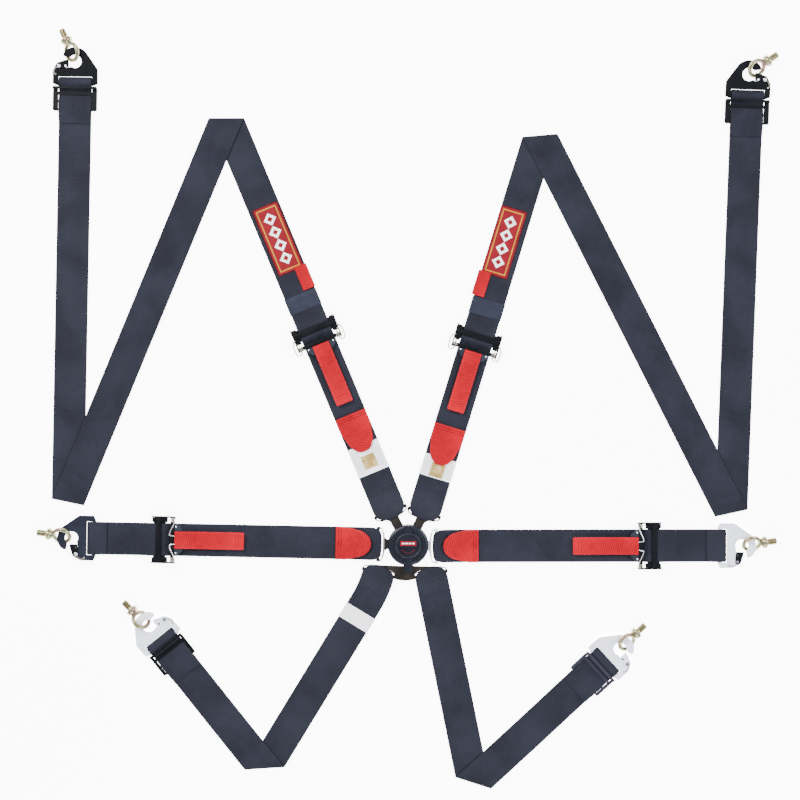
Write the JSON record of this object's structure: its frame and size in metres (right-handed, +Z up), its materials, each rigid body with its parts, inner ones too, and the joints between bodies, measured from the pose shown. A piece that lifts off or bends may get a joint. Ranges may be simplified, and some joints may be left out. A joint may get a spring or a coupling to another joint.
{
  "type": "racing harness",
  "caption": "Laid-out six point safety harness: rotary release buckle, adjustable shoulder and lap straps, leg straps, snap hooks and eye bolts.",
  "frame": {"origin": "centre of the buckle's back face, on the surface that the harness lies on", "axes": "+Z up out of the buckle's front, +Y towards the shoulder anchors, -X towards the strap set named l"},
  "size_m": [1.1568, 1.1866, 0.0274],
  "materials": {
    "cover_black": "satin anodised",
    "black_steel": "black coated",
    "bronze_steel": "dark bronze",
    "yellow_zinc": "yellow passivated zinc",
    "bright_steel": "zinc plated",
    "webbing": "woven polyester",
    "red_webbing": "woven polyester",
    "spring_steel": "bare"
  },
  "bodies": {
    "buckle": {"buckle_base": "black_steel", "buckle_cover": "cover_black", "latch_spider": "spring_steel", "return_spring": "spring_steel", "pivot_bolt": "spring_steel", "lap_l_tongue": "bronze_steel"},
    "handle": {"release_handle": "cover_black", "cam_plate": "spring_steel"},
    "shoulder_l_tongue": {"shoulder_l_tongue": "bronze_steel"},
    "shoulder_r_tongue": {"shoulder_r_tongue": "bronze_steel"},
    "lap_r_tongue": {"lap_r_tongue": "bronze_steel"},
    "leg_tongue": {"leg_tongue": "bronze_steel"},
    "shoulder_l_strap": {"shoulder_l_strap": "webbing"},
    "shoulder_l_adjuster": {"shoulder_l_adjuster": "black_steel"},
    "shoulder_l_pull": {"shoulder_l_pull": "red_webbing"},
    "shoulder_l_lever": {"shoulder_l_lever": "black_steel", "shoulder_l_tab": "red_webbing"},
    "shoulder_l_upper_strap": {"shoulder_l_upper_strap": "webbing", "shoulder_l_slide": "black_steel"},
    "shoulder_l_clip": {"shoulder_l_clip": "black_steel"},
    "shoulder_l_gate": {"shoulder_l_gate": "black_steel"},
    "shoulder_l_eye_bolt": {"shoulder_l_eye_bolt": "yellow_zinc"},
    "shoulder_r_strap": {"shoulder_r_strap": "webbing"},
    "shoulder_r_adjuster": {"shoulder_r_adjuster": "black_steel"},
    "shoulder_r_pull": {"shoulder_r_pull": "red_webbing"},
    "shoulder_r_lever": {"shoulder_r_lever": "black_steel", "shoulder_r_tab": "red_webbing"},
    "shoulder_r_upper_strap": {"shoulder_r_upper_strap": "webbing", "shoulder_r_slide": "black_steel"},
    "shoulder_r_clip": {"shoulder_r_clip": "black_steel"},
    "shoulder_r_gate": {"shoulder_r_gate": "black_steel"},
    "shoulder_r_eye_bolt": {"shoulder_r_eye_bolt": "yellow_zinc"},
    "lap_l_strap": {"lap_l_strap": "webbing"},
    "lap_l_adjuster": {"lap_l_adjuster": "black_steel"},
    "lap_l_pull": {"lap_l_pull": "red_webbing"},
    "lap_l_lever": {"lap_l_lever": "black_steel", "lap_l_tab": "red_webbing"},
    "lap_l_outer_strap": {"lap_l_outer_strap": "webbing"},
    "lap_l_clip": {"lap_l_clip": "black_steel"},
    "lap_l_gate": {"lap_l_gate": "black_steel"},
    "lap_l_eye_bolt": {"lap_l_eye_bolt": "yellow_zinc"},
    "lap_r_strap": {"lap_r_strap": "webbing"},
    "lap_r_adjuster": {"lap_r_adjuster": "black_steel"},
    "lap_r_pull": {"lap_r_pull": "red_webbing"},
    "lap_r_lever": {"lap_r_lever": "black_steel", "lap_r_tab": "red_webbing"},
    "lap_r_outer_strap": {"lap_r_outer_strap": "webbing"},
    "lap_r_clip": {"lap_r_clip": "bright_steel"},
    "lap_r_gate": {"lap_r_gate": "black_steel"},
    "lap_r_eye_bolt": {"lap_r_eye_bolt": "yellow_zinc"},
    "leg_l_strap": {"leg_l_strap": "webbing", "leg_l_slide": "black_steel"},
    "leg_l_clip": {"leg_l_clip": "bright_steel"},
    "leg_l_gate": {"leg_l_gate": "bright_steel"},
    "leg_l_eye_bolt": {"leg_l_eye_bolt": "yellow_zinc"},
    "leg_r_strap": {"leg_r_strap": "webbing", "leg_r_slide": "black_steel"},
    "leg_r_clip": {"leg_r_clip": "bright_steel"},
    "leg_r_gate": {"leg_r_gate": "bright_steel"},
    "leg_r_eye_bolt": {"leg_r_eye_bolt": "yellow_zinc"}
  },
  "joints": [
    {"name": "handle_turn", "type": "hinge", "parent": "buckle", "child": "handle", "pos_m": [0, 0, 0.024], "axis": [0, 0, 1], "range_deg": [-50, 50], "stiffness_Nm_per_rad": 0.05, "deforming": ["latch_spider", "return_spring"]},
    {"name": "shoulder_l_release", "type": "slide", "parent": "buckle", "child": "shoulder_l_tongue", "axis": [-0.4756, 0.8796, 0], "range_m": [0, 0.045], "deforming": ["latch_spider"]},
    {"name": "shoulder_r_release", "type": "slide", "parent": "buckle", "child": "shoulder_r_tongue", "axis": [0.4472, 0.8944, 0], "range_m": [0, 0.045], "deforming": ["latch_spider"]},
    {"name": "lap_r_release", "type": "slide", "parent": "buckle", "child": "lap_r_tongue", "axis": [0.9986, -0.0527, 0], "range_m": [0, 0.045], "deforming": ["latch_spider"]},
    {"name": "leg_release", "type": "slide", "parent": "buckle", "child": "leg_tongue", "axis": [0, -1, 0], "range_m": [0, 0.045], "deforming": ["latch_spider"]},
    {"name": "shoulder_l_strap_swing", "type": "hinge", "parent": "shoulder_l_tongue", "child": "shoulder_l_strap", "pos_m": [-0.0279, 0.0516, 0.0098], "axis": [0.9231, 0.3845, 0], "range_deg": [-25, 55]},
    {"name": "shoulder_l_adjust", "type": "slide", "parent": "shoulder_l_strap", "child": "shoulder_l_adjuster", "axis": [-0.3845, 0.9231, 0], "range_m": [0, 0.1], "deforming": ["shoulder_l_strap"]},
    {"name": "shoulder_l_tail_slide", "type": "slide", "parent": "shoulder_l_strap", "child": "shoulder_l_pull", "axis": [-0.3845, 0.9231, 0], "range_m": [0, 0.2]},
    {"name": "shoulder_l_lever_lift", "type": "hinge", "parent": "shoulder_l_adjuster", "child": "shoulder_l_lever", "pos_m": [-0.13788, 0.31561, 0.009], "axis": [-0.9231, -0.3845, 0], "range_deg": [0, 35], "stiffness_Nm_per_rad": 0.08, "springref_deg": -17.19},
    {"name": "shoulder_l_upper_swing", "type": "hinge", "parent": "shoulder_l_adjuster", "child": "shoulder_l_upper_strap", "pos_m": [-0.14864, 0.34146, 0.0047], "axis": [0.9231, 0.3845, 0], "range_deg": [-25, 55]},
    {"name": "shoulder_l_clip_swing", "type": "hinge", "parent": "shoulder_l_upper_strap", "child": "shoulder_l_clip", "pos_m": [-0.51934, 0.71924, 0.0047], "axis": [0.9998, -0.0186, 0], "range_deg": [-30, 50], "deforming": ["shoulder_l_upper_strap"]},
    {"name": "shoulder_l_gate_open", "type": "hinge", "parent": "shoulder_l_clip", "child": "shoulder_l_gate", "pos_m": [-0.54385, 0.74607, 0.01099], "axis": [0.0027, 0.1433, -0.9897], "range_deg": [0, 16], "stiffness_Nm_per_rad": 0.02, "springref_deg": -11.46},
    {"name": "shoulder_l_eye_turn", "type": "hinge", "parent": "shoulder_l_clip", "child": "shoulder_l_eye_bolt", "pos_m": [-0.52372, 0.7673, 0.01165], "axis": [0.6073, 0.2106, -0.766], "range_deg": [-25, 25]},
    {"name": "shoulder_r_strap_swing", "type": "hinge", "parent": "shoulder_r_tongue", "child": "shoulder_r_strap", "pos_m": [0.025, 0.05, 0.0098], "axis": [0.9561, -0.2932, 0], "range_deg": [-25, 55]},
    {"name": "shoulder_r_adjust", "type": "slide", "parent": "shoulder_r_strap", "child": "shoulder_r_adjuster", "axis": [0.2932, 0.9561, 0], "range_m": [0, 0.1], "deforming": ["shoulder_r_strap"]},
    {"name": "shoulder_r_tail_slide", "type": "slide", "parent": "shoulder_r_strap", "child": "shoulder_r_pull", "axis": [0.2932, 0.9561, 0], "range_m": [0, 0.2]},
    {"name": "shoulder_r_lever_lift", "type": "hinge", "parent": "shoulder_r_adjuster", "child": "shoulder_r_lever", "pos_m": [0.10269, 0.30336, 0.009], "axis": [-0.9561, 0.2932, 0], "range_deg": [0, 35], "stiffness_Nm_per_rad": 0.08, "springref_deg": -17.19},
    {"name": "shoulder_r_upper_swing", "type": "hinge", "parent": "shoulder_r_adjuster", "child": "shoulder_r_upper_strap", "pos_m": [0.1109, 0.33013, 0.0047], "axis": [0.9561, -0.2932, 0], "range_deg": [-25, 55]},
    {"name": "shoulder_r_clip_swing", "type": "hinge", "parent": "shoulder_r_upper_strap", "child": "shoulder_r_clip", "pos_m": [0.52935, 0.69891, 0.0047], "axis": [0.9993, -0.0382, 0], "range_deg": [-30, 50], "deforming": ["shoulder_r_upper_strap"]},
    {"name": "shoulder_r_gate_open", "type": "hinge", "parent": "shoulder_r_clip", "child": "shoulder_r_gate", "pos_m": [0.55534, 0.72422, 0.01135], "axis": [-0.006, -0.1567, 0.9876], "range_deg": [0, 9], "stiffness_Nm_per_rad": 0.02, "springref_deg": -11.46},
    {"name": "shoulder_r_eye_turn", "type": "hinge", "parent": "shoulder_r_clip", "child": "shoulder_r_eye_bolt", "pos_m": [0.54246, 0.7422, 0.01165], "axis": [0.4085, -0.4963, 0.766], "range_deg": [-25, 25]},
    {"name": "lap_l_strap_swing", "type": "hinge", "parent": "buckle", "child": "lap_l_strap", "pos_m": [-0.047, 0.0012, 0.0098], "axis": [0.0198, 0.9998, 0], "range_deg": [-25, 55]},
    {"name": "lap_l_adjust", "type": "slide", "parent": "lap_l_strap", "child": "lap_l_adjuster", "axis": [-0.9998, 0.0198, 0], "range_m": [0, 0.12], "deforming": ["lap_l_strap"]},
    {"name": "lap_l_tail_slide", "type": "slide", "parent": "lap_l_strap", "child": "lap_l_pull", "axis": [-0.9998, 0.0198, 0], "range_m": [0, 0.24]},
    {"name": "lap_l_lever_lift", "type": "hinge", "parent": "lap_l_adjuster", "child": "lap_l_lever", "pos_m": [-0.36694, 0.00754, 0.009], "axis": [-0.0198, -0.9998, 0], "range_deg": [0, 35], "stiffness_Nm_per_rad": 0.08, "springref_deg": -17.19},
    {"name": "lap_l_outer_swing", "type": "hinge", "parent": "lap_l_adjuster", "child": "lap_l_outer_strap", "pos_m": [-0.39493, 0.0081, 0.0047], "axis": [0.0198, 0.9998, 0], "range_deg": [-25, 55]},
    {"name": "lap_l_clip_swing", "type": "hinge", "parent": "lap_l_outer_strap", "child": "lap_l_clip", "pos_m": [-0.4909, 0.01, 0.0047], "axis": [0.0198, 0.9998, 0], "range_deg": [-30, 50], "deforming": ["lap_l_outer_strap"]},
    {"name": "lap_l_gate_open", "type": "hinge", "parent": "lap_l_clip", "child": "lap_l_gate", "pos_m": [-0.51777, -0.01447, 0.01095], "axis": [-0.1415, 0.0028, -0.9899], "range_deg": [0, 16], "stiffness_Nm_per_rad": 0.02, "springref_deg": -11.46},
    {"name": "lap_l_eye_turn", "type": "hinge", "parent": "lap_l_clip", "child": "lap_l_eye_bolt", "pos_m": [-0.5394, 0.01416, 0.01165], "axis": [0.1474, 0.6257, -0.766], "range_deg": [-25, 25]},
    {"name": "lap_r_strap_swing", "type": "hinge", "parent": "lap_r_tongue", "child": "lap_r_strap", "pos_m": [0.0436, -0.0023, 0.0098], "axis": [0.0014, -1, 0], "range_deg": [-25, 55]},
    {"name": "lap_r_adjust", "type": "slide", "parent": "lap_r_strap", "child": "lap_r_adjuster", "axis": [1, 0.0014, 0], "range_m": [0, 0.12], "deforming": ["lap_r_strap"]},
    {"name": "lap_r_tail_slide", "type": "slide", "parent": "lap_r_strap", "child": "lap_r_pull", "axis": [1, 0.0014, 0], "range_m": [0, 0.24]},
    {"name": "lap_r_lever_lift", "type": "hinge", "parent": "lap_r_adjuster", "child": "lap_r_lever", "pos_m": [0.3616, -0.00187, 0.009], "axis": [-0.0014, 1, 0], "range_deg": [0, 35], "stiffness_Nm_per_rad": 0.08, "springref_deg": -17.19},
    {"name": "lap_r_outer_swing", "type": "hinge", "parent": "lap_r_adjuster", "child": "lap_r_outer_strap", "pos_m": [0.3896, -0.00183, 0.0047], "axis": [0.0014, -1, 0], "range_deg": [-25, 55]},
    {"name": "lap_r_clip_swing", "type": "hinge", "parent": "lap_r_outer_strap", "child": "lap_r_clip", "pos_m": [0.4861, -0.0017, 0.0047], "axis": [0.0014, -1, 0], "range_deg": [-30, 50], "deforming": ["lap_r_outer_strap"]},
    {"name": "lap_r_gate_open", "type": "hinge", "parent": "lap_r_clip", "child": "lap_r_gate", "pos_m": [0.51252, -0.02666, 0.01095], "axis": [-0.1416, -0.0002, 0.9899], "range_deg": [0, 16], "stiffness_Nm_per_rad": 0.02, "springref_deg": -11.46},
    {"name": "lap_r_eye_turn", "type": "hinge", "parent": "lap_r_clip", "child": "lap_r_eye_bolt", "pos_m": [0.53466, 0.00157, 0.01165], "axis": [0.1358, -0.6283, 0.766], "range_deg": [-25, 25]},
    {"name": "leg_l_strap_swing", "type": "hinge", "parent": "leg_tongue", "child": "leg_l_strap", "pos_m": [-0.046, -0.044, 0.0098], "axis": [-0.9659, 0.2588, 0], "range_deg": [-25, 55]},
    {"name": "leg_l_clip_swing", "type": "hinge", "parent": "leg_l_strap", "child": "leg_l_clip", "pos_m": [-0.38282, -0.1525, 0.0047], "axis": [0.7794, 0.6265, 0], "range_deg": [-30, 50], "deforming": ["leg_l_strap"]},
    {"name": "leg_l_gate_open", "type": "hinge", "parent": "leg_l_clip", "child": "leg_l_gate", "pos_m": [-0.37986, -0.11628, 0.01095], "axis": [0.0887, -0.1103, 0.9899], "range_deg": [0, 16], "stiffness_Nm_per_rad": 0.02, "springref_deg": -11.46},
    {"name": "leg_l_eye_turn", "type": "hinge", "parent": "leg_l_clip", "child": "leg_l_eye_bolt", "pos_m": [-0.41574, -0.11665, 0.01165], "axis": [0.4053, 0.4989, 0.766], "range_deg": [-25, 25]},
    {"name": "leg_r_strap_swing", "type": "hinge", "parent": "leg_tongue", "child": "leg_r_strap", "pos_m": [0.035, -0.046, 0.0098], "axis": [-0.9799, -0.1993, 0], "range_deg": [-25, 55]},
    {"name": "leg_r_clip_swing", "type": "hinge", "parent": "leg_r_strap", "child": "leg_r_clip", "pos_m": [0.30506, -0.18516, 0.0047], "axis": [0.6773, -0.7357, 0], "range_deg": [-30, 50], "deforming": ["leg_r_strap"]},
    {"name": "leg_r_gate_open", "type": "hinge", "parent": "leg_r_clip", "child": "leg_r_gate", "pos_m": [0.3414, -0.18568, 0.01093], "axis": [-0.1036, -0.0953, 0.99], "range_deg": [0, 16], "stiffness_Nm_per_rad": 0.02, "springref_deg": -11.46},
    {"name": "leg_r_eye_turn", "type": "hinge", "parent": "leg_r_clip", "child": "leg_r_eye_bolt", "pos_m": [0.34009, -0.15109, 0.01165], "axis": [0.4753, -0.4327, 0.766], "range_deg": [-25, 25]}
  ],
  "couplings": [
    {"joint": "shoulder_l_tail_slide", "follows": "shoulder_l_adjust", "ratio": 2},
    {"joint": "shoulder_r_tail_slide", "follows": "shoulder_r_adjust", "ratio": 2},
    {"joint": "lap_l_tail_slide", "follows": "lap_l_adjust", "ratio": 2},
    {"joint": "lap_r_tail_slide", "follows": "lap_r_adjust", "ratio": 2}
  ]
}
